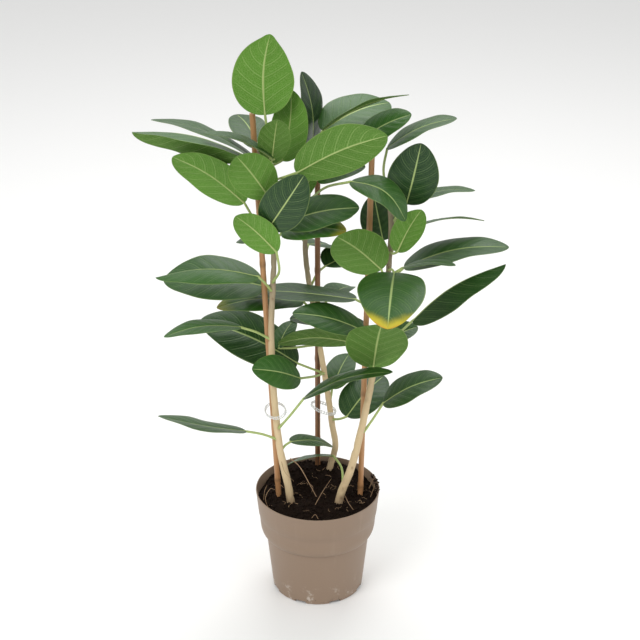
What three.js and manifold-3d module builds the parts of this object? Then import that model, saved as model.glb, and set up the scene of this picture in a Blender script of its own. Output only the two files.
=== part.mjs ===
// Bengal fig in a nursery pot: three stems on canes, broad oval leaves. Millimetres, Z up.
import * as THREE from "three";
import Module from "manifold-3d";

const wasm = await Module();
wasm.setup();

const clearance = 0.3; // left between any two pieces

// Pot: a tapered wall, a rounded shoulder, then a flaring collar
const potHeight = 188;
const rimRadius = 105;
const footRadius = 77;
const neckHeight = 105;
const neckRadius = 88;
const collarHeight = 128;
const collarRadius = 98;
const bandHeight = 144; // a faint step round the collar
const bandStep = 0.8;
const potWall = 2;
const potFloor = 2.5;
const potBevel = 1.5;
const potFacets = 32;
const drainCount = 8; // notches round the foot
const drainWidth = 20;
const drainHeight = 5;
const drainDepth = 14;

// Soil
const soilEdge = 168; // where the soil meets the wall
const soilCrown = 173;
const soilTilt = 0.05; // rise towards the back, per mm
const soilRings = [0.92, 0.6, 0.3, 0]; // shares of the radius where the mound has its points

// Stems
const stemStations = 16;
const rodSides = 10;

// Canes and ties
const caneRadius = 4.6;
const jointSwell = 0.7;
const boreRadius = 2.2;
const boreDepth = 14;
const tieRadius = 1.5;
const tieStations = 20;
const tieSides = 6;

// Leaves
const stalkRadius = 2.1;
const stalkSides = 8;
const stalkStations = [0, 0.5, 0.97];
const stalkBend = { out: 0.28, rise: 0.19, into: 0.3 }; // shares of the way from stem to blade
const bladeStations = [0.06, 0.22, 0.42, 0.62, 0.8, 0.94];
const ribThickness = 2.4;
const bladeThickness = 1.6;
const quarter = 0.55; // share of the half width where a blade section has its middle points

const v = (p) => new THREE.Vector3(...p);
const steps = (n) => Array.from({ length: n + 1 }, (_, i) => i / n);

// The library's body of a closed set of triangles.
function solid(points, faces) {
  const mesh = new wasm.Mesh({
    numProp: 3,
    vertProperties: Float32Array.from(points.flatMap((p) => p.toArray())),
    triVerts: Uint32Array.from(faces),
  });
  mesh.merge();
  return new wasm.Manifold(mesh);
}

function pointsOf(geometry) {
  const position = geometry.getAttribute("position");
  const pointAt = (_, i) => new THREE.Vector3().fromBufferAttribute(position, i);
  return Array.from({ length: position.count }, pointAt);
}

// A closed skin over rings of equal point count, with a point at each end.
function loft(rings, startPoint, endPoint) {
  const n = rings[0].length;
  const last = (rings.length - 1) * n;
  const startIndex = rings.length * n;
  const faces = [];
  for (let i = 0; i < last; i += n)
    for (let j = 0; j < n; j++) {
      const a = i + j;
      const b = i + ((j + 1) % n);
      faces.push(a, b, b + n, a, b + n, a + n);
    }
  for (let j = 0; j < n; j++) {
    const k = (j + 1) % n;
    faces.push(startIndex, k, j, startIndex + 1, last + j, last + k);
  }
  return solid([...rings.flat(), startPoint, endPoint], faces);
}

function circle(centre, along, radius, count, side) {
  const t = along.clone().normalize();
  const x = side.clone().addScaledVector(t, -side.dot(t)).normalize();
  const y = t.clone().cross(x);
  return Array.from({ length: count }, (_, k) => {
    const a = (2 * Math.PI * k) / count;
    const out = x.clone().multiplyScalar(Math.cos(a)).addScaledVector(y, Math.sin(a));
    return centre.clone().addScaledVector(out, radius);
  });
}

// A round rod along a curve; radiusAt takes the share of the length.
function rod(curve, stations, radiusAt) {
  const side = v([1, 0.2, 0]);
  const ringAt = (u) => circle(curve.getPointAt(u), curve.getTangentAt(u), radiusAt(u), rodSides, side);
  return loft(stations.map(ringAt), curve.getPointAt(stations[0]), curve.getPointAt(stations.at(-1)));
}

// ---- pot and soil
const mix = (a, b, t) => a + (b - a) * t;

function wallRadius(z) {
  if (z <= neckHeight) return mix(footRadius, neckRadius, z / neckHeight);
  if (z <= collarHeight) {
    const t = (z - neckHeight) / (collarHeight - neckHeight);
    return mix(neckRadius, collarRadius, t * t * (3 - 2 * t));
  }
  const flare = (z - collarHeight) / (potHeight - collarHeight);
  const step = z > bandHeight ? bandStep : 0;
  return mix(collarRadius, rimRadius - bandStep, flare) + step;
}

const wallHeights = [
  neckHeight / 2,
  ...steps(4).map((t) => mix(neckHeight, collarHeight, t)),
  bandHeight,
  bandHeight + 1,
];

// Turns a profile of [radius, height] about Z.
function turned(profile) {
  const outline = profile.map((p) => new THREE.Vector2(...p));
  return new THREE.LatheGeometry(outline, potFacets).rotateX(Math.PI / 2);
}

function pot() {
  const outside = [potBevel, ...wallHeights].map((z) => [wallRadius(z), z]);
  const lip = [
    [rimRadius, potHeight - potBevel], [rimRadius - potBevel / 2, potHeight],
    [rimRadius - potBevel, potHeight], [rimRadius - potWall, potHeight - potBevel],
  ];
  const falling = [...wallHeights.toReversed(), potFloor + potBevel];
  const inside = falling.map((z) => [wallRadius(z) - potWall, z]);
  const floor = [[footRadius - potWall - potBevel, potFloor], [0, potFloor]];
  const shell = turned([[0, 0], [footRadius - potBevel, 0], ...outside, ...lip, ...inside, ...floor]);
  let body = solid(pointsOf(shell), [...shell.index.array]);
  for (let k = 0; k < drainCount; k++) body = body.subtract(drain(((k + 0.5) / drainCount) * 2 * Math.PI));
  return body;
}

function drain(turn) {
  const slot = new THREE.BoxGeometry(drainDepth, drainWidth, drainHeight * 2);
  slot.translate(footRadius, 0, 0).rotateZ(turn);
  return solid(pointsOf(slot), [...slot.index.array]);
}

function soil() {
  const gap = potWall + clearance;
  const bottom = potFloor + clearance;
  const edge = wallRadius(soilEdge) - gap;
  const mound = soilRings.map((r) => [r * edge, mix(soilCrown, soilEdge, r * r)]);
  const side = [bottom + potWall, ...wallHeights].map((z) => [wallRadius(z) - gap, z]);
  const foot = [[0, bottom], [footRadius - gap - potWall, bottom]];
  const fill = turned([...foot, ...side, [edge, soilEdge], ...mound]);
  const points = pointsOf(fill);
  for (const p of points) {
    const onMound = p.z > mix(bandHeight, soilEdge, 0.5) && Math.hypot(p.x, p.y) < 0.95 * edge;
    if (onMound) p.z += soilTilt * p.y;
  }
  const rooted = [
    ...Object.values(stemRows).map((row) => stem(row, clearance)),
    ...Object.values(caneRows).map((row) => cane(row, clearance)),
  ];
  return rooted.reduce((body, cut) => body.subtract(cut), solid(points, [...fill.index.array]));
}

// ---- stems: radius at the foot and at the top, and the centre line, chosen to 5 mm
const stemRows = {
  left: {
    foot: 8,
    top: 4,
    path: [[-45, -20, 110], [-45, -20, 170], [-65, -15, 290], [-75, -10, 475], [-70, -5, 635],
      [-80, -5, 720], [-90, 0, 800]],
  },
  right: {
    foot: 8.5,
    top: 4,
    path: [[35, -20, 110], [35, -20, 170], [55, -15, 230], [80, -10, 345], [110, -10, 565], [115, -10, 640],
      [115, -10, 695], [105, -10, 740]],
  },
  middle: {
    foot: 6.5,
    top: 4,
    path: [[15, 70, 110], [15, 70, 170], [30, 70, 210], [25, 70, 270], [0, 70, 450], [-20, 70, 600],
      [-10, 70, 750]],
  },
};

function stem(row, extra) {
  const curve = new THREE.CatmullRomCurve3(row.path.map(v));
  return rod(curve, steps(stemStations), (u) => mix(row.foot, row.top, Math.sqrt(u)) + extra);
}

// ---- canes: foot and top
const caneRows = {
  left: [[-60, 0, 40], [-100, 10, 855]],
  right: [[70, 0, 40], [85, 20, 780]],
  middle: [[0, 80, 105], [0, 80, 760]],
};
const caneJoints = [0.2, 0.44, 0.69];

function cane(row, extra) {
  const around = caneJoints.flatMap((u) => [u - 0.01, u, u + 0.01]);
  const radiusAt = (u) => caneRadius + (caneJoints.includes(u) ? jointSwell : 0) + extra;
  return rod(new THREE.LineCurve3(v(row[0]), v(row[1])), [0, ...around, 1], radiusAt);
}

function boredCane(row) {
  const top = v(row[1]);
  const down = v(row[0]).sub(top).normalize();
  const low = top.clone().addScaledVector(down, boreDepth);
  const high = top.clone().addScaledVector(down, -1);
  return cane(row, 0).subtract(rod(new THREE.LineCurve3(low, high), [0, 1], () => boreRadius));
}

// ---- ties: loops round a stem and its cane; turn is in degrees, tilt is rise per mm along X and Y
const tieRows = {
  left: { centre: [-70, -5, 340], long: 25, short: 15, turn: 115, tilt: [0.3, 0.1] },
  right: { centre: [85, 0, 430], long: 25, short: 14, turn: 125, tilt: [0.15, -0.1] },
  middle: { centre: [10, 75, 300], long: 22, short: 13, turn: 155, tilt: [-0.2, 0.1] },
};

function tie(row) {
  const turn = THREE.MathUtils.degToRad(row.turn);
  const at = (k) => {
    const a = (2 * Math.PI * k) / tieStations;
    const p = v([row.long * Math.cos(a), row.short * Math.sin(a), 0]).applyAxisAngle(v([0, 0, 1]), turn);
    p.z = p.x * row.tilt[0] + p.y * row.tilt[1];
    return p.add(v(row.centre));
  };
  const ring = (_, k) => circle(at(k), at(k + 1).sub(at(k - 1)), tieRadius, tieSides, v([0, 0, 1]));
  const faces = [];
  for (let i = 0; i < tieStations; i++)
    for (let j = 0; j < tieSides; j++) {
      const here = i * tieSides;
      const next = ((i + 1) % tieStations) * tieSides;
      const k = (j + 1) % tieSides;
      faces.push(here + j, here + k, next + k, here + j, next + k, next + j);
    }
  return solid(Array.from({ length: tieStations }, ring).flat(), faces);
}

// ---- leaves by stem: height of the node, foot of the blade, tip, width, the way the upper side
// faces, and what differs from an ordinary blade; places chosen to 5 mm
const leafRows = {
  left: [
    [790, [-80, -5, 860], [-70, -20, 990], 95, [0, 1, 0.1], { sweep: 0.05, sharp: 0.85 }],
    [770, [-55, 5, 780], [-40, 20, 890], 70, [0.55, 0.8, 0], {}],
    [755, [-70, -30, 790], [-60, -60, 870], 50, [0, 0.9, 0.4], {}],
    [770, [-110, -40, 805], [-280, -45, 845], 90, [0, 0.6, 0.8], { fold: -28, cup: 0 }],
    [745, [-95, 40, 765], [-260, 50, 830], 85, [0, 0.2, 1], {}],
    [755, [-90, 30, 790], [-130, 130, 810], 60, [0, 0, 1], {}],
    [700, [-75, -45, 740], [-120, -95, 825], 70, [0, 1, -0.2], {}],
    [645, [-115, -30, 725], [-220, -45, 805], 75, [0, 0.9, 0.4], {}],
    [745, [-30, -45, 780], [105, -60, 845], 85, [0, 0.95, 0.2], {}],
    [675, [-75, -50, 690], [-20, -70, 785], 70, [0, -1, 0.3], {}],
    [660, [-50, -20, 685], [65, -30, 715], 70, [0, -0.45, 0.9], {}],
    [640, [-55, -10, 665], [45, -40, 680], 60, [0, -0.3, 0.95], {}],
    [575, [-65, -60, 655], [-125, -75, 720], 55, [0, 1, 0.1], {}],
    [620, [-80, 20, 640], [-130, 55, 620], 40, [0, -0.2, 1], {}],
    [550, [-90, 35, 550], [-250, 35, 560], 100, [0, -0.35, 0.95], {}],
    [560, [-95, -25, 595], [-255, -40, 600], 75, [0, 0.3, 0.95], { fold: -20 }],
    [475, [-125, -25, 505], [-245, -50, 500], 60, [0, 0.1, 1], {}],
    [290, [-120, -30, 315], [-260, -50, 355], 75, [0, 0.25, 0.95], { arch: -0.02 }],
    [270, [-45, -5, 280], [25, 40, 245], 40, [0, -0.1, 1], {}],
    [310, [-20, -60, 395], [120, -75, 450], 70, [0, 0.15, 1], {}],
  ],
  middle: [
    [740, [-10, 70, 770], [-25, 75, 900], 75, [0.9, -0.4, 0], {}],
    [735, [10, 20, 825], [140, 10, 885], 60, [0, 0.35, 0.95], {}],
    [480, [-25, 60, 510], [-165, 35, 510], 75, [0, -0.1, 1], {}],
    [370, [-35, 60, 395], [-195, 70, 470], 95, [0, -0.45, 0.9], {}],
    [370, [-30, -30, 415], [-105, -65, 450], 60, [0, -0.6, 0.8], {}],
    [425, [55, 30, 450], [-65, 25, 450], 70, [0, 0.8, 0.6], {}],
    [425, [-65, 50, 430], [-40, 100, 455], 40, [0, 0.3, 1], {}],
    [560, [-15, 110, 590], [45, 180, 540], 70, [0, 0, 1], {}],
    [700, [10, 60, 810], [115, 130, 830], 90, [0, -0.3, 0.95], {}],
    [280, [50, 55, 295], [115, 135, 330], 75, [0, -0.3, 1], {}],
    [300, [25, 90, 330], [55, 170, 355], 50, [0, -0.3, 1], {}],
    [685, [55, -35, 760], [135, -70, 710], 75, [0.3, -0.2, 1], { arch: 0.2 }],
    [725, [65, 30, 800], [145, 20, 850], 60, [0, -0.4, 0.9], {}],
  ],
  right: [
    [730, [110, 20, 795], [215, 15, 845], 70, [0, 0, 1], {}],
    [690, [140, 10, 705], [160, 0, 810], 80, [0, -1, 0.2], {}],
    [670, [145, 30, 700], [250, 40, 715], 55, [0, 0.15, 1], {}],
    [630, [125, -40, 645], [160, -50, 720], 50, [0, 0.9, 0.3], {}],
    [620, [150, 50, 645], [270, 70, 650], 55, [0, 0.4, 0.9], {}],
    [570, [140, 10, 595], [305, 10, 630], 90, [0, 0, 1], {}],
    [585, [135, -35, 615], [215, -60, 630], 50, [0, 0.2, 1], {}],
    [600, [120, -55, 615], [105, -200, 590], 105, [0, -0.2, 1], { arch: 0.1 }],
    [450, [155, 10, 500], [300, 0, 605], 80, [0, 0, 1], { fold: -33, cup: 0 }],
    [410, [90, -40, 440], [100, -95, 545], 100, [0, 1, 0.3], {}],
    [290, [110, -5, 355], [205, -10, 405], 70, [0, -0.2, 1], {}],
    [515, [60, -5, 545], [-120, 50, 535], 70, [0, 0.05, 1], { arch: 0.02 }],
    [485, [75, -30, 500], [-40, -35, 535], 65, [0, -0.3, 0.95], {}],
    [575, [100, -30, 610], [30, -85, 690], 80, [0, 1, 0], {}],
    [600, [105, 40, 630], [90, 60, 700], 60, [0, -1, 0.2], {}],
    [195, [25, 50, 220], [-55, 50, 200], 45, [0, 0.4, 0.9], {}],
  ],
};
// Arch, sweep and heart are shares of the length and wave one of the width; fold and cup are degrees;
// blunt and sharp shape the foot and the tip.
const ordinary = {
  arch: 0.08, sweep: 0, fold: 12, cup: 10, sharp: 0.62, blunt: 0.5, heart: 0.03, wave: 0.03,
};

// The midrib and its local directions at share s of the blade.
function ribAt(leaf, s) {
  const { foot, tip, face, arch, sweep, length } = leaf;
  const d = tip.clone().sub(foot).normalize();
  const n = face.clone().addScaledVector(d, -face.dot(d)).normalize();
  const side = d.clone().cross(n);
  const bend = Math.sin(Math.PI * s) * length;
  const slope = Math.PI * Math.cos(Math.PI * s);
  const point = foot.clone().lerp(tip, s);
  point.addScaledVector(n, arch * bend).addScaledVector(side, sweep * bend);
  const t = d.clone().addScaledVector(n, arch * slope).addScaledVector(side, sweep * slope).normalize();
  const up = n.clone().addScaledVector(t, -n.dot(t)).normalize();
  return { point, t, up, across: t.clone().cross(up) };
}

// A point of the blade: q runs from -1 at one margin to 1 at the other.
function bladeAt(leaf, s, q, lift) {
  const { blunt, sharp, width, fold, cup, heart, wave, length } = leaf;
  const widest = blunt / (blunt + sharp);
  const share = (s / widest) ** blunt * ((1 - s) / (1 - widest)) ** sharp;
  const reach = Math.abs(q);
  const angle = THREE.MathUtils.degToRad(fold - cup * reach);
  const half = (width / 2) * share * reach;
  const ripple = Math.sin(2 * Math.PI * (1.4 * s + (q > 0 ? 0.3 : 0))) * Math.sin(Math.PI * s);
  const { point, t, up, across } = ribAt(leaf, s);
  return point
    .addScaledVector(across, Math.sign(q) * half * Math.cos(angle))
    .addScaledVector(up, half * Math.sin(angle) + width * wave * reach * reach * ripple + lift)
    .addScaledVector(t, -heart * length * reach ** 1.5 * (1 - s) ** 7);
}

// The eight points of a blade section, anticlockwise about the midrib.
function bladeRing(leaf, s) {
  const rib = (ribThickness / 2) * (1 - 0.6 * s);
  const half = (bladeThickness / 2) * (1 - 0.4 * s);
  const upper = [[-1, 0], [-quarter, half], [0, rib], [quarter, half]];
  const under = upper.map(([q, lift]) => [-q, -lift]);
  return [...upper, ...under].map(([q, lift]) => bladeAt(leaf, s, q, lift));
}

function stemPoint(path, height) {
  const i = path.findIndex((p, k) => k > 0 && p[2] >= height);
  return v(path[i - 1]).lerp(v(path[i]), (height - path[i - 1][2]) / (path[i][2] - path[i - 1][2]));
}

// One leaf with its stalk, from the middle of the stem to the tip of the blade.
function leafOn(stemRow, [node, foot, tip, width, face, changes]) {
  const leaf = { ...ordinary, ...changes, width, foot: v(foot), tip: v(tip), face: v(face) };
  leaf.length = leaf.foot.distanceTo(leaf.tip);
  const start = stemPoint(stemRow.path, node);
  const { t, up } = ribAt(leaf, 0);
  const span = start.distanceTo(leaf.foot);
  const away = leaf.foot.clone().sub(start).setZ(0).normalize();
  const leaving = start.clone().addScaledVector(away, span * stalkBend.out);
  leaving.z += span * stalkBend.rise;
  const arriving = leaf.foot.clone().addScaledVector(t, -span * stalkBend.into);
  const stalk = new THREE.CubicBezierCurve3(start, leaving, arriving, leaf.foot);
  const stalkRing = (u) => {
    const along = stalk.getTangent(u);
    return circle(stalk.getPoint(u), along, stalkRadius, stalkSides, up.clone().cross(along));
  };
  const rings = [...stalkStations.map(stalkRing), ...bladeStations.map((s) => bladeRing(leaf, s))];
  return loft(rings, start, leaf.tip).subtract(stem(stemRow, clearance));
}

// ---- the part: the pot and its soil, and a group for each stem with what it carries
const part = new THREE.Group();

function add(group, name, body, color, roughness) {
  const mesh = body.getMesh();
  const geometry = new THREE.BufferGeometry();
  geometry.setAttribute("position", new THREE.BufferAttribute(mesh.vertProperties, 3));
  geometry.setIndex(new THREE.BufferAttribute(mesh.triVerts, 1));
  geometry.computeVertexNormals();
  const piece = new THREE.Mesh(geometry, new THREE.MeshStandardMaterial({ color, roughness }));
  piece.name = name;
  group.add(piece);
}

add(part, "pot", pot(), 0x94806c, 0.6);
add(part, "soil", soil(), 0x2b1d14, 0.95);
for (const side of ["left", "middle", "right"]) {
  const shoot = new THREE.Group();
  add(shoot, `stem_${side}`, stem(stemRows[side], 0), 0xd2bd92, 0.75);
  add(shoot, `cane_${side}`, boredCane(caneRows[side]), 0xa9713f, 0.6);
  add(shoot, `tie_${side}`, tie(tieRows[side]), 0xdfe3e0, 0.3);
  leafRows[side].forEach((row, i) => {
    const number = String(i + 1).padStart(2, "0");
    add(shoot, `leaf_${side}_${number}`, leafOn(stemRows[side], row), 0x3f6b2a, 0.4);
  });
  part.add(shoot);
}

export default part;
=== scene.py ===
import math
import random

import bmesh
import bpy
import numpy as np
from mathutils import Matrix, Vector, noise
from mathutils.bvhtree import BVHTree


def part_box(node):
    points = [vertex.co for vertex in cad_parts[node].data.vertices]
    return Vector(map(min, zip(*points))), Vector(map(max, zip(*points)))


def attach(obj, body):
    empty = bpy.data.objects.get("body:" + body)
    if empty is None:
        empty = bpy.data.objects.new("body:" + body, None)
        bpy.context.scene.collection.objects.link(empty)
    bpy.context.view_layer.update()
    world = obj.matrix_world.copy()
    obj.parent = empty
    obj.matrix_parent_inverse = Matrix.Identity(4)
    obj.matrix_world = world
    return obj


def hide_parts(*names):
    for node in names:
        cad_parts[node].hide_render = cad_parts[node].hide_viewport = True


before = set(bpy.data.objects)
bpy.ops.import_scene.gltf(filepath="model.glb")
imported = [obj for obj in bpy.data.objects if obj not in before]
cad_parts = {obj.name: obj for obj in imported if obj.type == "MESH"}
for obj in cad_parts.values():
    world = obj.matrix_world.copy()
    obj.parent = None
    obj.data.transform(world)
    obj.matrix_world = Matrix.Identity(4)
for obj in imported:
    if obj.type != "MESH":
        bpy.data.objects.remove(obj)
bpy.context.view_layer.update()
print("frame loaded:", len(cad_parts), "nodes")

mm = 0.001
scene = bpy.context.scene
dice = random.Random(7)
sides = ("left", "middle", "right")


# camera, light and floor
view = {"place": (0.004, -2.544, 1.776), "pitch": 26.54, "lens": 98.8}
studio = {"world": 0.7, "key": 42, "fill": 14, "top": 34, "floor": (0.92, 0.92, 0.91)}

camera = bpy.data.objects.new("camera", bpy.data.cameras.new("camera"))
camera.location = view["place"]
camera.rotation_euler = (math.radians(90 - view["pitch"]), 0, 0)
camera.data.lens = view["lens"]
scene.collection.objects.link(camera)
scene.camera = camera
scene.view_settings.view_transform = "Standard"

world = bpy.data.worlds.new("studio")
world.use_nodes = True
world.node_tree.nodes["Background"].inputs["Color"].default_value = (1, 1, 1, 1)
world.node_tree.nodes["Background"].inputs["Strength"].default_value = studio["world"]
scene.world = world


def softLight(name, place, aim, size, power):
    lamp = bpy.data.lights.new(name, "AREA")
    lamp.size = size
    lamp.energy = power
    light = bpy.data.objects.new(name, lamp)
    light.location = place
    light.rotation_euler = (Vector(aim) - Vector(place)).to_track_quat("-Z", "Y").to_euler()
    scene.collection.objects.link(light)


softLight("keyLight", (-1.6, -2.0, 2.4), (0, 0, 0.5), 1.6, studio["key"])
softLight("fillLight", (2.2, -1.6, 1.2), (0, 0, 0.5), 1.8, studio["fill"])
softLight("topLight", (0.2, 1.3, 2.6), (0, 0, 0.6), 1.8, studio["top"])
print("camera and lights set")


# shader helpers
class Wire:
    # one output socket that can be added to, multiplied and so on
    def __init__(self, finish, socket):
        self.finish = finish
        self.socket = socket

    def math(self, operation, first, second=0.0):
        return self.finish.node("Math", {"operation": operation}, {0: first, 1: second})

    def __add__(self, other):
        return self.math("ADD", self, other)

    def __radd__(self, other):
        return self.math("ADD", other, self)

    def __sub__(self, other):
        return self.math("SUBTRACT", self, other)

    def __rsub__(self, other):
        return self.math("SUBTRACT", other, self)

    def __mul__(self, other):
        return self.math("MULTIPLY", self, other)

    def __rmul__(self, other):
        return self.math("MULTIPLY", other, self)

    def __pow__(self, other):
        return self.math("POWER", self, other)

    def __abs__(self):
        return self.math("ABSOLUTE", self)

    def fract(self):
        return self.math("FRACT", self)


class Finish:
    # one material and the calls that add nodes to it
    def __init__(self, name):
        self.material = bpy.data.materials.new(name)
        self.material.use_nodes = True
        self.tree = self.material.node_tree
        self.shader = self.tree.nodes["Principled BSDF"]

    def node(self, kind, settings=None, values=None, output=0):
        made = self.tree.nodes.new("ShaderNode" + kind)
        for key, value in (settings or {}).items():
            setattr(made, key, value)
        for key, value in (values or {}).items():
            self.put(made.inputs[key], value)
        return Wire(self, made.outputs[output])

    def put(self, socket, value):
        if isinstance(value, Wire):
            self.tree.links.new(value.socket, socket)
        elif socket.type == "RGBA":
            socket.default_value = (*value, 1)
        else:
            socket.default_value = value

    def set(self, **values):
        for key, value in values.items():
            self.put(self.shader.inputs[key.replace("_", " ")], value)

    def mix(self, share, first, second):
        settings = {"data_type": "RGBA", "clamp_factor": True}
        return self.node("Mix", settings, {0: share, 6: first, 7: second}, output=2)

    def ease(self, value, low, high):
        settings = {"interpolation_type": "SMOOTHSTEP"}
        return self.node("MapRange", settings, {"Value": value, "From Min": low, "From Max": high})

    def place(self):
        return self.node("TexCoord", output=3)

    def stretched(self, scale):
        return self.node("Mapping", None, {"Vector": self.place(), "Scale": scale})

    def noise(self, vector, scale, detail=3.0, roughness=0.55):
        values = {"Vector": vector, "Scale": scale, "Detail": detail, "Roughness": roughness}
        return self.node("TexNoise", None, values)

    def height(self):
        return self.node("SeparateXYZ", None, {0: self.place()}, output=2)

    def attribute(self, name):
        return self.node("Attribute", {"attribute_name": name}, output=2)

    def bump(self, height, strength, distance):
        values = {"Height": height, "Strength": strength, "Distance": distance}
        self.put(self.shader.inputs["Normal"], self.node("Bump", None, values))


# piece helpers
def finishPiece(name, bm, materials, nodes=(), crease=40):
    bmesh.ops.recalc_face_normals(bm, faces=bm.faces)
    mesh = bpy.data.meshes.new(name)
    bm.to_mesh(mesh)
    bm.free()
    mesh.polygons.foreach_set("use_smooth", [True] * len(mesh.polygons))
    mesh.set_sharp_from_angle(angle=math.radians(crease))
    for material in materials:
        mesh.materials.append(material)
    piece = bpy.data.objects.new(name, mesh)
    scene.collection.objects.link(piece)
    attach(piece, "root")
    if nodes:
        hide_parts(*nodes)
    return piece


def sectionFrame(point, along, side, radius):
    t = along.normalized()
    x = (side - t * side.dot(t)).normalized()
    turn = Matrix((x, t.cross(x), t)).transposed().to_4x4()
    return Matrix.Translation(point) @ turn @ Matrix.Diagonal((radius, radius, 1, 1))


def tube(bm, points, radii, around, side=Vector((1, 0.2, 0)), material=0):
    # a closed rod: one circle, extruded and carried from station to station
    before = set(bm.faces)
    last = len(points) - 1
    spots = []
    for i, point in enumerate(points):
        along = points[min(i + 1, last)] - points[max(i - 1, 0)]
        spots.append(sectionFrame(point, along, side, radii[i]))
    start = bmesh.ops.create_circle(bm, cap_ends=True, segments=around, radius=1, matrix=spots[0])
    ring = list({edge for vert in start["verts"] for edge in vert.link_edges})
    for i in range(1, len(points)):
        grown = bmesh.ops.extrude_edge_only(bm, edges=ring)["geom"]
        verts = {g for g in grown if isinstance(g, bmesh.types.BMVert)}
        bmesh.ops.transform(bm, matrix=spots[i] @ spots[i - 1].inverted(), verts=list(verts))
        edges = (g for g in grown if isinstance(g, bmesh.types.BMEdge))
        ring = [edge for edge in edges if all(vert in verts for vert in edge.verts)]
    bmesh.ops.edgeloop_fill(bm, edges=ring)
    for face in set(bm.faces) - before:
        face.material_index = material


def mixed(a, b, t):
    return a + (b - a) * t


def middleOf(points):
    return sum(points, Vector()) / len(points)


def through(stations, values, s):
    # a smooth curve through values that stand at uneven stations
    last = len(stations) - 1
    i = min(sum(s >= station for station in stations[1:-1]), last - 1)
    width = stations[i + 1] - stations[i]
    t = (s - stations[i]) / width
    slopes = []
    for k in (i, i + 1):
        low, high = max(k - 1, 0), min(k + 1, last)
        slopes.append((values[high] - values[low]) * (width / (stations[high] - stations[low])))
    rise = values[i + 1] - values[i]
    bend = (3 * rise - 2 * slopes[0] - slopes[1]) * (t * t) + (slopes[0] + slopes[1] - 2 * rise) * (t * t * t)
    return values[i] + slopes[0] * t + bend


# reading the frame: the rings of points that a lofted node is made of
def walkRound(ring):
    here = min(ring, key=lambda vert: vert.index)
    left = ring - {here}
    points = [here.co.copy()]
    while left:
        beside = {edge.other_vert(here) for edge in here.link_edges} & left
        here = min(beside, key=lambda vert: vert.index)
        left = left - {here}
        points.append(here.co.copy())
    return points


def mergedCopy(node):
    bm = bmesh.new()
    bm.from_mesh(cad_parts[node].data)
    bmesh.ops.remove_doubles(bm, verts=bm.verts, dist=1e-6)
    bm.verts.index_update()
    return bm


def readLoft(node, around):
    # the pole, the whole rings that follow it, and the points beyond them
    bm = mergedCopy(node)
    best = (None, [], set())
    for pole in bm.verts:
        seen = {pole}
        ring = {pole}
        rings = []
        while len(pole.link_edges) == around:
            ring = {edge.other_vert(vert) for vert in ring for edge in vert.link_edges} - seen
            if len(ring) != around:
                break
            rings.append(ring)
            seen = seen | ring
        if len(rings) > len(best[1]):
            best = (pole, rings, set(bm.verts) - seen)
    pole, rings, rest = best
    found = (pole.co.copy(), [walkRound(ring) for ring in rings], [vert.co.copy() for vert in rest])
    bm.free()
    return found


def readRod(node, around=10):
    # the centre line of a stem or cane from the bottom up, with its radius
    rings = readLoft(node, around)[1]
    middles = [middleOf(ring) for ring in rings]
    radii = [(ring[0] - middle).length for ring, middle in zip(rings, middles)]
    if middles[0].z > middles[-1].z:
        middles.reverse()
        radii.reverse()
    count = 1
    while count < len(middles) and middles[count].z > middles[count - 1].z + mm:
        count += 1
    return middles[:count], radii[:count]


def makeFloor():
    bm = bmesh.new()
    bmesh.ops.create_grid(bm, x_segments=2, y_segments=2, size=6)
    mesh = bpy.data.meshes.new("floor")
    bm.to_mesh(mesh)
    bm.free()
    floor = bpy.data.objects.new("floor", mesh)
    scene.collection.objects.link(floor)
    finish = Finish("palePaper")
    speck = finish.noise(finish.place(), 30.0)
    finish.set(Base_Color=finish.mix(speck * 0.05, studio["floor"], (0.88, 0.88, 0.87)), Roughness=0.9)
    mesh.materials.append(finish.material)


makeFloor()
print("floor laid")


# pot: radii and heights in millimetres
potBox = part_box("pot")
potShape = {
    "height": potBox[1].z / mm, "rim": potBox[1].x / mm, "foot": 77, "neckHeight": 105, "neck": 88,
    "collarHeight": 128, "collar": 98, "band": 144, "bandStep": 0.8, "bandRise": 1.2,
    "wall": 2.0, "floor": 2.5, "around": 128,
    "drains": 8, "drainWidth": 20, "drainHeight": 5, "drainDepth": 14,
}


def wallRadius(z):
    p = potShape
    if z <= p["neckHeight"]:
        return mixed(p["foot"], p["neck"], z / p["neckHeight"])
    if z <= p["collarHeight"]:
        t = (z - p["neckHeight"]) / (p["collarHeight"] - p["neckHeight"])
        return mixed(p["neck"], p["collar"], math.sqrt(1 - (1 - t) ** 2))
    flare = (z - p["collarHeight"]) / (p["height"] - p["collarHeight"])
    step = min(max((z - p["band"]) / p["bandRise"], 0), 1) * p["bandStep"]
    return mixed(p["collar"], p["rim"] - p["bandStep"], flare) + step


def potFinish():
    finish = Finish("taupePlastic")
    low = finish.height()
    cloud = finish.noise(finish.place(), 9.0, 4.0)
    streak = finish.noise(finish.stretched((60, 60, 6)), 1.0, 4.0)
    fine = finish.noise(finish.place(), 420.0, 2.0)
    body = finish.mix(cloud * 0.5, (0.25, 0.175, 0.122), (0.3, 0.215, 0.152))
    body = finish.mix(finish.ease(streak, 0.55, 0.8) * 0.18, body, (0.38, 0.29, 0.22))
    nearFoot = 1 - finish.ease(low, 0.004, 0.05)
    scuffed = finish.ease(finish.noise(finish.place(), 55.0, 6.0, 0.7), 0.54, 0.66) * nearFoot
    nearGround = 1 - finish.ease(low, 0.0, 0.022)
    dirt = finish.ease(finish.noise(finish.place(), 130.0, 4.0, 0.6), 0.6, 0.68) * nearGround
    body = finish.mix(scuffed * 0.55, body, (0.72, 0.67, 0.6))
    body = finish.mix(dirt * 0.8, body, (0.06, 0.04, 0.028))
    finish.set(Base_Color=body, Roughness=0.42 + 0.12 * cloud + 0.2 * scuffed, Specular_IOR_Level=0.4)
    finish.bump(fine * 0.3 + streak * 0.4, 0.25, 0.0008)
    return finish.material


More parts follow.
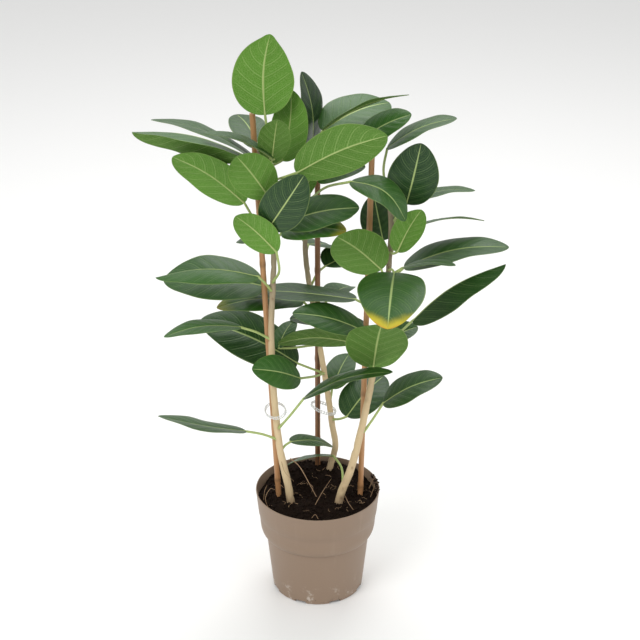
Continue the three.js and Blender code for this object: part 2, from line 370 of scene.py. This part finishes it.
def turned(profile, steps):
    # a closed body: the profile, in millimetres from the axis, spun round Z
    bm = bmesh.new()
    verts = [bm.verts.new((radius * mm, 0, z * mm)) for radius, z in profile]
    edges = [bm.edges.new(pair) for pair in zip(verts, verts[1:])]
    bmesh.ops.spin(
        bm, geom=verts + edges, cent=(0, 0, 0), axis=(0, 0, 1), angle=math.tau, steps=steps, use_merge=True
    )
    bmesh.ops.remove_doubles(bm, verts=bm.verts, dist=1e-6)
    return bm


def makePot():
    p = potShape
    heights = [1.5, 5, 14, 35, 60, 85]
    heights += [mixed(p["neckHeight"], p["collarHeight"], i / 8) for i in range(9)]
    heights += [136, p["band"] - 0.2, p["band"] + 0.6, p["band"] + 1.4, 160, 175, 184]
    lip = [(0, -1.7), (-0.3, -0.5), (-1, 0), (-1.5, -0.4), (-1.9, -1.5)]
    profile = [(0, 0), (60, 0), (p["foot"] - 1.5, 0)]
    profile += [(wallRadius(z), z) for z in heights]
    profile += [(p["rim"] + across, p["height"] + up) for across, up in lip]
    profile += [(wallRadius(z) - p["wall"], z) for z in reversed(heights[1:])]
    profile += [(p["foot"] - p["wall"] - 2, p["floor"]), (0, p["floor"])]
    pot = finishPiece("nurseryPot", turned(profile, p["around"]), [potFinish()], ["pot"], 30)
    cutter = bmesh.new()
    for k in range(p["drains"]):
        turn = Matrix.Rotation(math.tau * (k + 0.5) / p["drains"], 4, "Z")
        size = Matrix.Diagonal((p["drainDepth"] * mm, p["drainWidth"] * mm, 2 * p["drainHeight"] * mm, 1))
        place = turn @ Matrix.Translation((p["foot"] * mm, 0, 0)) @ size
        box = bmesh.ops.create_cube(cutter, size=1, matrix=place)
        edges = list({edge for vert in box["verts"] for edge in vert.link_edges})
        bmesh.ops.bevel(
            cutter, geom=edges, offset=1.5 * mm, segments=2, profile=0.5, affect="EDGES", material=-1
        )
    mesh = bpy.data.meshes.new("drainCutter")
    cutter.to_mesh(mesh)
    cutter.free()
    tool = bpy.data.objects.new("drainCutter", mesh)
    scene.collection.objects.link(tool)
    cut = pot.modifiers.new("drains", "BOOLEAN")
    cut.operation = "DIFFERENCE"
    cut.object = tool
    bpy.context.view_layer.update()
    whole = pot.data
    pot.data = bpy.data.meshes.new_from_object(pot.evaluated_get(bpy.context.evaluated_depsgraph_get()))
    pot.modifiers.clear()
    bpy.data.objects.remove(tool)
    bpy.data.meshes.remove(whole)
    pot.data.set_sharp_from_angle(angle=math.radians(30))


makePot()
print("pot made")


# soil: its mound is read from the frame, and the lumps are added
soilShape = {
    "gap": 2.4, "lump": 4.5, "grain": 3.0, "heap": 10, "heapFrom": 30, "heapReach": 50,
    "rings": 90, "around": 220, "crumbs": 1600, "rimCrumbs": 70,
    "fibres": 40, "fibreStations": 7, "rootStations": 14,
}


def readGround():
    bm = mergedCopy("soil")
    tree = BVHTree.FromBMesh(bm)
    bm.free()
    edge = potShape["rim"] * 0.9
    half = edge / 2
    spots = {"crown": (0, 0), "front": (0, -half), "back": (0, half)}
    down = Vector((0, 0, -1))
    found = {}
    for name, (x, y) in spots.items():
        hit = tree.ray_cast(Vector((x * mm, y * mm, 1)), down)[0]
        found[name] = hit.z / mm
    tilt = (found["back"] - found["front"]) / edge
    fall = found["crown"] - (found["back"] + found["front"]) / 2
    return {"crown": found["crown"], "tilt": tilt, "fall": fall / half ** 2}


ground = readGround()
soilEdge = wallRadius(ground["crown"]) - soilShape["gap"]


def groundHeight(x, y):
    # millimetres, without the lumps
    reach = math.hypot(x, y)
    tilt = ground["tilt"] * y * min(1, max(0, (0.99 - reach / soilEdge) * 12))
    return ground["crown"] - ground["fall"] * reach ** 2 + tilt


def lumpyHeight(x, y):
    s = soilShape
    broad = noise.fractal(Vector((x, y, 3)) * 0.035, 1.0, 2.0, 3)
    grain = noise.fractal(Vector((x, y, 9)) * 0.22, 0.9, 2.1, 4)
    banked = min(1, max(0, (y - s["heapFrom"]) / s["heapReach"])) ** 1.5 * s["heap"]  # against the back wall
    return groundHeight(x, y) + banked + broad * s["lump"] + abs(grain) * s["grain"]


def soilFinish():
    finish = Finish("peat")
    coarse = finish.noise(finish.place(), 90.0, 6.0, 0.7)
    fine = finish.noise(finish.place(), 480.0, 5.0, 0.7)
    earth = finish.mix(coarse, (0.003, 0.0015, 0.001), (0.022, 0.011, 0.006))
    flake = finish.ease(fine, 0.62, 0.72)
    earth = finish.mix(flake * 0.4, earth, (0.08, 0.045, 0.025))
    finish.set(Base_Color=earth, Roughness=0.85 + 0.1 * fine, Specular_IOR_Level=0.15)
    finish.bump(fine + coarse, 0.8, 0.0025)
    return finish.material


def makeSoil(material):
    s = soilShape
    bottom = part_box("soil")[0].z / mm
    top = groundHeight(soilEdge, 0)
    wall = [(wallRadius(z) - s["gap"], z) for z in (bottom + 2, 50, 105, 112, 120, 128, 150)]
    mound = [(soilEdge * (1 - i / s["rings"]), top) for i in range(s["rings"] + 1)]
    bm = turned([(0, bottom), (70, bottom)] + wall + mound, s["around"])
    for vert in bm.verts:
        if vert.co.z > (top - 2) * mm:
            vert.co.z = lumpyHeight(vert.co.x / mm, vert.co.y / mm) * mm
    finishPiece("potSoil", bm, [material], ["soil"], 180)


def crumb(bm, x, y, z, size):
    turn = Matrix.Rotation(dice.random() * math.tau, 4, Vector((dice.random(), dice.random(), 1)))
    shape = Matrix.Diagonal((size, size * dice.uniform(0.5, 1), size * dice.uniform(0.4, 0.8), 1))
    place = Matrix.Translation((x * mm, y * mm, z * mm)) @ turn @ shape
    bit = bmesh.ops.create_icosphere(bm, subdivisions=1, radius=mm, matrix=place)
    for vert in bit["verts"]:
        vert.co += noise.noise_vector(vert.co * 900) * size * 0.25 * mm


def makeCrumbs(material):
    bm = bmesh.new()
    reachMost = soilEdge - 3
    for _ in range(soilShape["crumbs"]):
        reach = reachMost * math.sqrt(dice.random())
        turn = dice.random() * math.tau
        x, y = reach * math.cos(turn), reach * math.sin(turn)
        size = dice.choice((0.8, 1.2, 1.8, 2.6, 3.4))
        crumb(bm, x, y, lumpyHeight(x, y) + size * 0.3, size)
    for _ in range(soilShape["rimCrumbs"]):  # the clump that has been pushed over the rim on the right
        turn = math.radians(dice.uniform(-8, 24))
        reach = dice.gauss(potShape["rim"] - 4, 2.2)
        height = potShape["height"] + dice.uniform(-5, 3)
        crumb(bm, reach * math.cos(turn), reach * math.sin(turn), height, dice.uniform(0.8, 2.2))
    finishPiece("soilCrumbs", bm, [material])


def rootFinish():
    finish = Finish("rootSkin")
    grain = finish.noise(finish.place(), 160.0, 4.0)
    finish.set(Base_Color=finish.mix(grain, (0.16, 0.08, 0.04), (0.5, 0.34, 0.2)), Roughness=0.8)
    finish.bump(grain, 0.4, 0.0006)
    return finish.material


def makeFibres():
    bm = bmesh.new()
    steps = soilShape["fibreStations"]
    for _ in range(soilShape["fibres"]):
        reach = (soilEdge - 12) * math.sqrt(dice.random())
        turn = dice.random() * math.tau
        heading = dice.random() * math.tau
        length = dice.uniform(8, 24)
        thick = dice.choice((0.25, 0.35, 0.45))
        path = []
        for i in range(steps + 1):
            x = reach * math.cos(turn) + length * (i / steps - 0.5) * math.cos(heading + 0.15 * i)
            y = reach * math.sin(turn) + length * (i / steps - 0.5) * math.sin(heading + 0.15 * i)
            inside = min(1, (soilEdge - 3) / max(math.hypot(x, y), 1))
            x, y = x * inside, y * inside
            path.append(Vector((x, y, lumpyHeight(x, y) + 0.6 + math.sin(i * 0.45) * 0.9)) * mm)
        tube(bm, path, [thick * mm] * len(path), 5)
    finishPiece("soilFibres", bm, [rootSkin])


# loose roots that stand out of the soil: points, each with its height above the ground, and thickness
rootRows = [
    ([(-46, -22, 88), (-30, -30, 76), (-14, -40, 50), (-2, -46, 28)], 0.9),
    ([(-14, -40, 50), (-8, -34, 38), (-10, -28, 24)], 0.6),
    ([(-62, -20, 88), (-55, -28, 66), (-40, -30, 48)], 0.5),
    ([(-4, -40, 8), (8, -30, 26), (22, -20, 44)], 0.6),
    ([(-84, -34, 2), (-88, -30, 18), (-80, -22, 30), (-72, -20, 26)], 0.6),
    ([(-92, -10, 0), (-90, -4, 14), (-86, 2, 22)], 0.6),
    ([(2, -70, 0), (-4, -66, 8), (-10, -70, 4)], 0.7),
    ([(60, -40, 0), (52, -36, 10), (46, -30, 20)], 0.8),
    ([(88, 16, 6), (94, 20, 20), (96, 14, 26)], 0.8),
    ([(90, -6, 4), (95, -2, 18), (97, 4, 24)], 0.6),
]


def makeRoots():
    bm = bmesh.new()
    steps = soilShape["rootStations"]
    for points, thick in rootRows:
        knots = [Vector((x, y, groundHeight(x, y) + above)) * mm for x, y, above in points]
        stations = [i / (len(knots) - 1) for i in range(len(knots))]
        path = [through(stations, knots, i / steps) for i in range(steps + 1)]
        tube(bm, path, [thick * mm * (1 - 0.5 * i / steps) for i in range(steps + 1)], 6)
    finishPiece("looseRoots", bm, [rootSkin])


peat = soilFinish()
rootSkin = rootFinish()
makeSoil(peat)
makeCrumbs(peat)
makeFibres()
makeRoots()
print("soil made")


# leaves: each blade is read from its solid and made again with its veins
leafShape = {
    "points": 8,  # of a section of the solid: margins, quarters and the two sides of the midrib
    "stations": (0.06, 0.22, 0.42, 0.62, 0.8, 0.94), "quarter": 0.55, "blunt": 0.5, "sharp": 0.62,
    "alongCells": 72, "acrossCells": 20, "thick": 0.7, "seat": 3.0,
    "veins": 7.0, "slant": 0.26, "curve": 1.3, "quilt": 0.35,
    "stalk": 2.0, "groove": 0.4, "ribUnder": 1.3, "ribStations": 26, "stalkStations": 18,
}
# how light a green each leaf is, from 0 to 1, in the order of its number: partly its own green, young leaves
# lighter than old ones, and partly painted light, the glow of leaves lit through from behind and the sheen on
# upper sides seen at a grazing angle
leafGreenAndPaintedLight = {
    "left": (0.95, 0.9, 0.5, 0.55, 0.3, 0.2, 0.8, 0.85, 0.65, 0.05,
             0.3, 0.75, 0.85, 0.15, 0.3, 0.55, 0.6, 0.4, 0.3, 0.25),
    "middle": (0.0, 0.35, 0.5, 0.15, 0.55, 0.4, 0.35, 0.15, 0.5, 0.1, 0.3, 0.45, 0.5),
    "right": (0.3, 0.05, 0.4, 0.8, 0.35, 0.25, 0.35, 0.4, 0.2, 0.45, 0.2, 0.1, 0.3, 0.6, 0.1, 0.25),
}
leafAge = {"leaf_left_12": 0.5, "leaf_middle_03": 0.3, "leaf_right_08": 1.0}  # yellowing from the tip
# upright leaves, and the way that their upper side looks; every other one looks up
front, back = Vector((0, -1, 0)), Vector((0, 1, 0))
uprightLeaves = {
    "leaf_left_01": back, "leaf_left_02": back, "leaf_left_07": back, "leaf_left_10": front,
    "leaf_left_13": back, "leaf_middle_01": front, "leaf_right_02": front, "leaf_right_04": back,
    "leaf_right_14": back, "leaf_right_15": front,
}


def outline(s):
    # half width of a blade at share s of its length, as a share of the widest
    blunt, sharp = leafShape["blunt"], leafShape["sharp"]
    widest = blunt / (blunt + sharp)
    return (s / widest) ** blunt * ((1 - s) / (1 - widest)) ** sharp


def readSection(points, forward, hint):
    # the two points farthest apart are the margins, and the rest follow in order
    half = len(points) // 2
    first = max(range(half), key=lambda i: (points[i] - points[i + half]).length)
    a, topA, top, topB, b, lowB, low, lowA = points[first:] + points[:first]
    rib = (top + low) / 2
    up = (top - low).normalized()
    if up.dot(hint) < 0:
        up = -up
    pairs = [(a - rib, (topA + lowA) / 2 - rib), (b - rib, (topB + lowB) / 2 - rib)]
    if pairs[0][0].dot(forward.cross(up)) < 0:
        pairs.reverse()
    return rib, up, [*pairs[0], *pairs[1]]


def readLeaf(node):
    tip, rings, rest = readLoft(node, leafShape["points"])
    count = len(leafShape["stations"])
    blade = rings[count - 1::-1]
    foot, halfway = (middleOf(ring) for ring in rings[count:count + 2])
    root = middleOf(rest)
    inward = (root - halfway).normalized() * leafShape["seat"] * mm
    hint = uprightLeaves.get(node, Vector((0, 0, 1)))
    upward = readSection(blade[count // 2], tip - foot, hint)[1]
    sections = [readSection(ring, tip - foot, upward) for ring in blade]
    spans = []
    for (_, _, arms), s in zip(sections, leafShape["stations"]):
        spans.append([arm / outline(s) for arm in arms])
    return {
        "ribs": [foot, *(rib for rib, _, _ in sections), tip], "ups": [up for _, up, _ in sections],
        "arms": spans, "stalk": [root + inward, root, halfway, foot],
    }


def bladeColumn(leaf, s):
    # what a cross-section of the blade needs at share s
    stations = leafShape["stations"]
    near = min(max(s, stations[0]), stations[-1])
    return {
        "s": s, "share": outline(s), "rib": through((0, *stations, 1), leaf["ribs"], s),
        "up": through(stations, leaf["ups"], near).normalized(),
        "arms": [through(stations, [arms[k] for arms in leaf["arms"]], near) for k in range(4)],
    }


def bladePoint(column, q, side):
    # q runs from -1 at one margin to 1 at the other, side is 1 above and -1 below
    shape = leafShape
    reach = abs(q)
    quarter = shape["quarter"]
    margin, middle = column["arms"][:2] if q > 0 else column["arms"][2:]
    flat = middle * (reach * (1 - reach) / (quarter * (1 - quarter)))
    flat = flat + margin * (reach * (reach - quarter) / (1 - quarter))
    row = (column["s"] - shape["slant"] * reach ** shape["curve"]) * shape["veins"]
    puff = math.sin(math.pi * reach) * math.sin(math.pi * column["s"])
    lift = side * shape["thick"] * (0.5 - 0.25 * reach) - shape["quilt"] * math.cos(math.tau * row) * puff
    lift -= shape["groove"] * math.exp(-((reach / 0.05) ** 2))
    return column["rib"] + flat * column["share"] + column["up"] * lift * mm


def makeBladeGrid():
    # two flat sheets joined round the rim, which every leaf bends into its own blade
    bm = bmesh.new()
    shape = leafShape
    bmesh.ops.create_grid(bm, x_segments=shape["alongCells"], y_segments=shape["acrossCells"], size=1)
    copy = bmesh.ops.duplicate(bm, geom=bm.verts[:] + bm.edges[:] + bm.faces[:])["geom"]
    lower = [g for g in copy if isinstance(g, bmesh.types.BMVert)]
    under = [g for g in copy if isinstance(g, bmesh.types.BMFace)]
    bmesh.ops.translate(bm, vec=(0, 0, -0.01), verts=lower)
    bmesh.ops.reverse_faces(bm, faces=under)
    for face in under:
        face.material_index = 1
    bmesh.ops.bridge_loops(bm, edges=[edge for edge in bm.edges if edge.is_boundary])
    blade = bm.loops.layers.uv.new("blade")
    for face in bm.faces:
        for loop in face.loops:
            x, y, _ = loop.vert.co
            loop[blade].uv = ((1 - math.cos(math.pi * (x + 1) / 2)) / 2, (y + 1) / 2)
    return bm


bladeGrid = makeBladeGrid()


def makeLeaf(name, leaf, greenAndPaintedLight, age, nodes=()):
    shape = leafShape
    bm = bladeGrid.copy()
    columns = {}
    for vert in bm.verts:
        x, q, z = vert.co
        key = round((x + 1) / 2 * shape["alongCells"])
        if key not in columns:
            columns[key] = bladeColumn(leaf, (1 - math.cos(math.pi * key / shape["alongCells"])) / 2)
        vert.co = bladePoint(columns[key], q, 1 if z > -0.005 else -1)
    bmesh.ops.remove_doubles(bm, verts=bm.verts, dist=2e-6)
    ribSteps, stalkSteps = shape["ribStations"], shape["stalkStations"]
    ribLine = []
    for i in range(ribSteps + 1):
        column = bladeColumn(leaf, 0.03 + 0.92 * i / ribSteps)
        ribLine.append(column["rib"] - column["up"] * 0.5 * mm)
    knots = leaf["stalk"]
    marks = [0]
    for a, b in zip(knots, knots[1:]):
        marks.append(marks[-1] + (b - a).length)
    stalk = [through(marks, knots, marks[-1] * i / stalkSteps) for i in range(stalkSteps + 1)]
    thick = [shape["stalk"] * (1.3 - 0.3 * min(1, i / 5)) * mm for i in range(len(stalk))]
    thick += [max(0.3, shape["ribUnder"] * (1 - i / ribSteps) ** 0.8) * mm for i in range(ribSteps + 1)]
    side = leaf["ups"][0].cross(stalk[-1] - stalk[-2])
    tube(bm, stalk + ribLine, thick, 10, side, 2)
    # this lightness is partly the leaf's own green and partly painted light: the glow of backlit leaves and
    # the sheen on grazing upper sides
    greenAndPaintedLightLayer = bm.verts.layers.float.new("greenAndPaintedLight")
    ageLayer = bm.verts.layers.float.new("age")
    for vert in bm.verts:
        vert[greenAndPaintedLightLayer] = greenAndPaintedLight
        vert[ageLayer] = age
    finishPiece(name, bm, leafMaterials, nodes, 60)


def leafFinish(name, under):
    finish = Finish(name)
    shape = leafShape
    sheet = finish.node("UVMap", {"uv_map": "blade"})
    along = finish.node("SeparateXYZ", None, {0: sheet})
    across = finish.node("SeparateXYZ", None, {0: sheet}, output=1)
    q = abs(across * 2.0 - 1.0)
    cloud = finish.noise(finish.place(), 22.0, 4.0)
    waver = finish.noise(finish.place(), 45.0, 2.0)
    row = (along - shape["slant"] * q ** shape["curve"] + waver * 0.02) * shape["veins"]
    inner = 1 - finish.ease(q, 0.8, 0.98)
    vein = finish.ease(abs(row.fract() - 0.5) * 2.0, 0.88 if under else 0.91, 1.0) * inner
    minor = finish.ease(abs((row * 2.0 + 0.5).fract() - 0.5) * 2.0, 0.9, 1.0) * inner * 0.3
    rib = 1 - finish.ease(q, 0.012, 0.05)
    cells = {"Vector": finish.place(), "Scale": 330.0}
    net = finish.node("TexVoronoi", {"feature": "DISTANCE_TO_EDGE"}, cells)
    mesh = 1 - finish.ease(net, 0.0, 0.12)
    edge = finish.ease(q, 0.955, 0.99)
    # mixing towards the lighter green is partly the leaf's own young green and partly painted light, the glow
    # of backlit leaves and the sheen of grazing upper sides
    greenAndPaintedLight = finish.attribute("greenAndPaintedLight")
    if under:
        blade = finish.mix(greenAndPaintedLight, (0.06, 0.11, 0.025), (0.1, 0.26, 0.022))
        blade = finish.mix(cloud * 0.4, blade, (0.07, 0.14, 0.03))
        pale = (0.34, 0.48, 0.16)
    else:
        blade = finish.mix(greenAndPaintedLight, (0.004, 0.026, 0.006), (0.05, 0.18, 0.016))
        blade = finish.mix(cloud * 0.3, blade, (0.02, 0.07, 0.012))
        pale = (0.2, 0.34, 0.09)
    blade = finish.mix(mesh * (0.22 if under else 0.1), blade, pale)
    blade = finish.mix(minor, blade, pale)
    blade = finish.mix(vein * (0.5 if under else 0.42), blade, pale)
    blade = finish.mix(rib * 0.85, blade, (0.42, 0.54, 0.2))
    blade = finish.mix(edge * 0.45, blade, (0.26, 0.36, 0.1))
    age = finish.attribute("age")
    ragged = along + cloud * 0.25 + q * 0.08
    blade = finish.mix(finish.ease(ragged, 0.95, 1.12) * age, blade, (0.5, 0.42, 0.02))
    blade = finish.mix(finish.ease(ragged, 1.12, 1.2) * age, blade, (0.55, 0.25, 0.02))
    rough = 0.5 + 0.15 * cloud if under else 0.3 + 0.14 * cloud
    finish.set(Base_Color=blade, Roughness=rough, Specular_IOR_Level=0.22 if under else 0.4)
    relief = vein + rib + minor + mesh * 0.25
    finish.bump(relief if under else 1 - relief, 0.5, 0.0006)
    return finish.material


def stalkFinish():
    finish = Finish("greenStalk")
    grain = finish.noise(finish.stretched((1, 1, 0.2)), 200.0, 3.0)
    green = finish.mix(grain, (0.26, 0.36, 0.1), (0.46, 0.54, 0.2))
    finish.set(Base_Color=green, Roughness=0.42 + 0.1 * grain)
    finish.bump(grain, 0.2, 0.0005)
    return finish.material


leafMaterials = [leafFinish("leafUpper", False), leafFinish("leafUnder", True), stalkFinish()]
leafRoots = {side: [] for side in sides}  # where each stem carries its leaves


def makeLeaves(side):
    for i, greenAndPaintedLight in enumerate(leafGreenAndPaintedLight[side], 1):
        node = f"leaf_{side}_{i:02d}"
        leaf = readLeaf(node)
        leafRoots[side].append(leaf["stalk"][1])
        makeLeaf(f"leaf{side.capitalize()}{i:02d}", leaf, greenAndPaintedLight, leafAge.get(node, 0), [node])
    print("leaves made on the", side, "stem:", len(leafGreenAndPaintedLight[side]))


for side in sides:
    makeLeaves(side)

# small and hidden leaves that have no solid: stem, height of the node, then the foot and the tip from
# that node, width, the way the upper side faces, and how light it is, partly its own green and partly painted
# light
extraLeaves = [
    ("middle", 430, (0, 30, 20), (-50, 35, 25), 40, (0, -0.2, 1), 0.0),
    ("middle", 470, (20, 35, 20), (60, 110, 10), 50, (0, 0, 1), 0.4),
    ("middle", 530, (25, 30, 25), (80, 95, 10), 65, (0, -0.3, 1), 0.1),
    ("middle", 690, (-10, -35, 15), (15, -20, 60), 30, (0, 0.9, 0.3), 0.8),
    ("middle", 700, (15, -20, 30), (90, -30, 55), 70, (0, -0.3, 0.95), 0.45),
    ("middle", 650, (30, -50, 20), (75, -60, 35), 35, (0, -0.4, 0.9), 0.7),
    ("middle", 420, (35, 20, 20), (80, 30, 25), 40, (0, -0.3, 0.95), 0.05),
    ("right", 420, (30, 60, 25), (75, 75, 40), 40, (0, -0.4, 0.9), 0.25),
    ("left", 770, (20, -40, 30), (-85, -50, 75), 45, (0, 0.1, 1), 0.3),
]
extraShape = {"arch": 0.08, "fold": 12, "leave": 0.3}


def plannedLeaf(side, height, foot, tip, width, face):
    # what readLeaf finds, for a leaf that has no solid
    middles = readRod("stem_" + side)[0]
    heights = [middle.z for middle in middles]
    node = through(heights, middles, height * mm)
    foot = node + Vector(foot) * mm
    tip = node + Vector(tip) * mm
    along = (tip - foot).normalized()
    up = (Vector(face) - along * Vector(face).dot(along)).normalized()
    fold = math.radians(extraShape["fold"])
    arms = []
    for sign in (1, -1):
        margin = (along.cross(up) * sign * math.cos(fold) + up * math.sin(fold)) * width / 2 * mm
        arms += [margin, margin * leafShape["quarter"]]
    bow = up * (tip - foot).length * extraShape["arch"]
    stations = (0, *leafShape["stations"], 1)
    halfway = node.lerp(foot, 0.5) + Vector((0, 0, 1)) * (foot - node).length * extraShape["leave"] / 2
    count = len(leafShape["stations"])
    return {
        "ribs": [foot.lerp(tip, s) + bow * math.sin(math.pi * s) for s in stations],
        "ups": [up] * count, "arms": [arms] * count, "stalk": [node, node.lerp(halfway, 0.3), halfway, foot],
    }


for number, (side, height, foot, tip, width, face, light) in enumerate(extraLeaves, 1):
    extra = plannedLeaf(side, height, foot, tip, width, face)
    leafRoots[side].append(extra["stalk"][1])
    # light is the leaf's lightness, partly its own green and partly painted light from backlight and sheen
    makeLeaf(f"leafExtra{number:02d}", extra, light, 0)
print("small leaves made:", len(extraLeaves))


# stems, swollen where the leaves stand and where older ones have dropped
stemShape = {
    "stations": 170, "around": 24, "swell": 1.5, "reach": 4.5, "stain": 3.2, "waver": 0.5,
    "scars": {"left": (185, 205, 268, 330, 395, 548, 600, 655),
              "middle": (190, 214, 300, 340, 610, 660),
              "right": (182, 198, 214, 236, 270, 330, 365, 540, 650)},
}


def barkFinish():
    finish = Finish("creamBark")
    up = finish.height()
    broad = finish.noise(finish.stretched((1, 1, 0.35)), 26.0, 5.0)
    fine = finish.noise(finish.stretched((1, 1, 0.3)), 240.0, 5.0, 0.65)
    rings = finish.noise(finish.stretched((0.1, 0.1, 1)), 520.0, 2.0)
    young = finish.ease(up + broad * 0.12, 0.47, 0.7)
    cream = finish.mix(broad, (0.5, 0.36, 0.19), (0.72, 0.58, 0.36))
    wood = finish.mix(fine, (0.19, 0.14, 0.09), (0.36, 0.31, 0.2))
    skin = finish.mix(young, cream, wood)
    skin = finish.mix(finish.ease(fine, 0.6, 0.75) * 0.35, skin, (0.33, 0.2, 0.1))
    skin = finish.mix(finish.ease(rings, 0.62, 0.72) * 0.22, skin, (0.4, 0.27, 0.15))
    skin = finish.mix(finish.attribute("knot") * 0.7, skin, (0.2, 0.11, 0.055))
    earthy = 1 - finish.ease(up + fine * 0.03, 0.186, 0.21)
    skin = finish.mix(earthy * 0.6, skin, (0.2, 0.12, 0.07))
    finish.set(Base_Color=skin, Roughness=0.6 + 0.2 * fine)
    finish.bump(fine * 0.6 + rings * 0.5, 0.35, 0.0012)
    return finish.material


def makeStem(side, material):
    shape = stemShape
    middles, radii = readRod("stem_" + side)
    stations = [i / (len(middles) - 1) for i in range(len(middles))]
    points = [through(stations, middles, i / shape["stations"]) for i in range(shape["stations"] + 1)]
    thick = [through(stations, radii, i / shape["stations"]) for i in range(shape["stations"] + 1)]
    knots = [root - Vector((0, 0, 3)) * mm for root in leafRoots[side]]
    for height in shape["scars"][side]:
        i = min(range(len(points)), key=lambda k: abs(points[k].z / mm - height))
        turn = dice.uniform(math.pi, math.tau) if dice.random() < 0.7 else dice.uniform(0, math.pi)
        knots.append(points[i] + Vector((math.cos(turn), math.sin(turn), 0)) * thick[i])
    bm = bmesh.new()
    tube(bm, points, thick, shape["around"])
    knotLayer = bm.verts.layers.float.new("knot")
    bm.normal_update()
    for vert in bm.verts:
        near = min((vert.co - knot).length for knot in knots) / mm
        bulge = shape["swell"] * math.exp(-((near / shape["reach"]) ** 2))
        patch = noise.noise(vert.co * 180 + Vector((5, 0, 0)))
        vert[knotLayer] = math.exp(-((near / shape["stain"]) ** 2)) * min(1, max(0, 0.6 + patch * 1.6))
        rough = noise.noise(vert.co * 70) * shape["waver"]
        vert.co += vert.normal * (rough + bulge) * mm
    finishPiece("stem" + side.capitalize(), bm, [material], ["stem_" + side], 60)


bark = barkFinish()
for side in sides:
    makeStem(side, bark)
print("stems made")


# canes
caneShape = {
    "around": 24, "stations": 160, "swellReach": 5.0, "stain": 3.5, "bore": 2.2, "depth": 14,
    "cleftTurn": -1.35, "cleftWide": 0.22, "cleftTop": 0.62,
}


def bambooFinish(name, pale, deep, split):
    finish = Finish(name)
    grain = finish.noise(finish.stretched((1, 1, 0.03)), 900.0, 4.0, 0.6)
    patch = finish.noise(finish.stretched((1, 1, 0.25)), 30.0, 4.0)
    cleftShade = finish.attribute("cleftShade") * split
    skin = finish.mix(patch * 0.6 + grain * 0.4, deep, pale)
    skin = finish.mix(finish.attribute("joint") * 0.6, skin, (0.14, 0.07, 0.03))
    # the crack down the middle cane is a near-black stripe: painted shade in the groove, which the bump only
    # dents
    skin = finish.mix(cleftShade, skin, (0.035, 0.018, 0.01))
    finish.set(Base_Color=skin, Roughness=0.34 + 0.2 * patch)
    finish.bump(grain * 0.5 - cleftShade * 2.0, 0.4, 0.0008)
    return finish.material


def makeCane(side, material):
    shape = caneShape
    middles, radii = readRod("cane_" + side)
    low, high = middles[0], middles[-1]
    length = (high - low).length
    along = (high - low) / length
    plain = min(radii)
    joints = [(m - low).length for m, r in zip(middles, radii) if r > plain + 0.3 * mm]
    points = [low.lerp(high, i / shape["stations"]) for i in range(shape["stations"] + 1)]
    thick = []
    for point in points:
        near = min(abs((point - low).length - joint) for joint in joints) / mm
        thick.append(plain + (max(radii) - plain) * math.exp(-((near / shape["swellReach"]) ** 2)))
    bm = bmesh.new()
    tube(bm, points, thick, shape["around"])
    ends = [face for face in bm.faces if len(face.verts) == shape["around"]]
    top = max(ends, key=lambda face: face.calc_center_median().z)
    bmesh.ops.inset_region(bm, faces=[top], thickness=plain - shape["bore"] * mm)
    bore = bmesh.ops.extrude_discrete_faces(bm, faces=[top])["faces"][0]
    bmesh.ops.translate(bm, vec=along * -shape["depth"] * mm, verts=bore.verts)
    jointLayer = bm.verts.layers.float.new("joint")
    cleftShadeLayer = bm.verts.layers.float.new("cleftShade")
    for vert in bm.verts:
        way = (vert.co - low).dot(along)
        near = min(abs(way - joint) for joint in joints) / mm
        away = vert.co - low - along * way
        turn = math.atan2(away.y, away.x)
        vert[jointLayer] = math.exp(-((near / shape["stain"]) ** 2))
        # where the crack runs: its stripe is darkened in the finish as painted shade in the groove
        lower = min(1, max(0, (shape["cleftTop"] - way / length) * 6))
        vert[cleftShadeLayer] = math.exp(-(((turn - shape["cleftTurn"]) / shape["cleftWide"]) ** 2)) * lower
    finishPiece("cane" + side.capitalize(), bm, [material], ["cane_" + side])


orangeCane = bambooFinish("orangeBamboo", (0.6, 0.34, 0.16), (0.36, 0.16, 0.06), 0.0)
brownCane = bambooFinish("brownBamboo", (0.34, 0.16, 0.07), (0.16, 0.07, 0.03), 1.0)
for side in sides:
    makeCane(side, brownCane if side == "middle" else orangeCane)
print("canes made")


# ties: clear toothed loops
tieShape = {"teeth": 30, "stations": 180, "bands": (-1.9, 1.9), "thin": 0.6, "tooth": 0.8, "post": 0.7}


def tieFinish():
    finish = Finish("clearPlastic")
    cloud = finish.noise(finish.place(), 140.0, 3.0)
    clear = finish.mix(cloud, (0.82, 0.84, 0.84), (0.97, 0.98, 0.98))
    finish.set(
        Base_Color=clear, Roughness=0.16 + 0.1 * cloud, Alpha=0.42 + 0.25 * cloud, Specular_IOR_Level=0.7
    )
    return finish.material


def readLoop(node):
    # the middle of an oval loop, its two half axes and the way it faces
    points = np.array([vert.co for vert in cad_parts[node].data.vertices])
    middle = points.mean(axis=0)
    spread, axes = np.linalg.eigh(np.cov((points - middle).T))
    halves = [Vector(axes[:, k]) * math.sqrt(2 * spread[k]) for k in (2, 1)]
    return Vector(middle), halves, Vector(axes[:, 0])


def makeTie(side, material):
    shape = tieShape
    middle, (long, short), facing = readLoop("tie_" + side)

    def loopPoint(share, rise):
        turn = math.tau * share
        return middle + long * math.cos(turn) + short * math.sin(turn) + facing * rise * mm

    bm = bmesh.new()
    count = shape["stations"]
    for rise in shape["bands"]:
        points = [loopPoint(i / count, rise) for i in range(count + 1)]
        waves = [0.5 + 0.5 * math.cos(math.tau * shape["teeth"] * i / count) for i in range(count + 1)]
        tube(bm, points, [(shape["thin"] + shape["tooth"] * wave) * mm for wave in waves], 8, facing)
    for k in range(shape["teeth"]):
        ends = [loopPoint(k / shape["teeth"], rise) for rise in shape["bands"]]
        tube(bm, ends, [shape["post"] * mm] * 2, 6, long)
    finishPiece("tie" + side.capitalize(), bm, [material], ["tie_" + side])


clearPlastic = tieFinish()
for side in sides:
    makeTie(side, clearPlastic)
print("ties made")

print("scene finished")
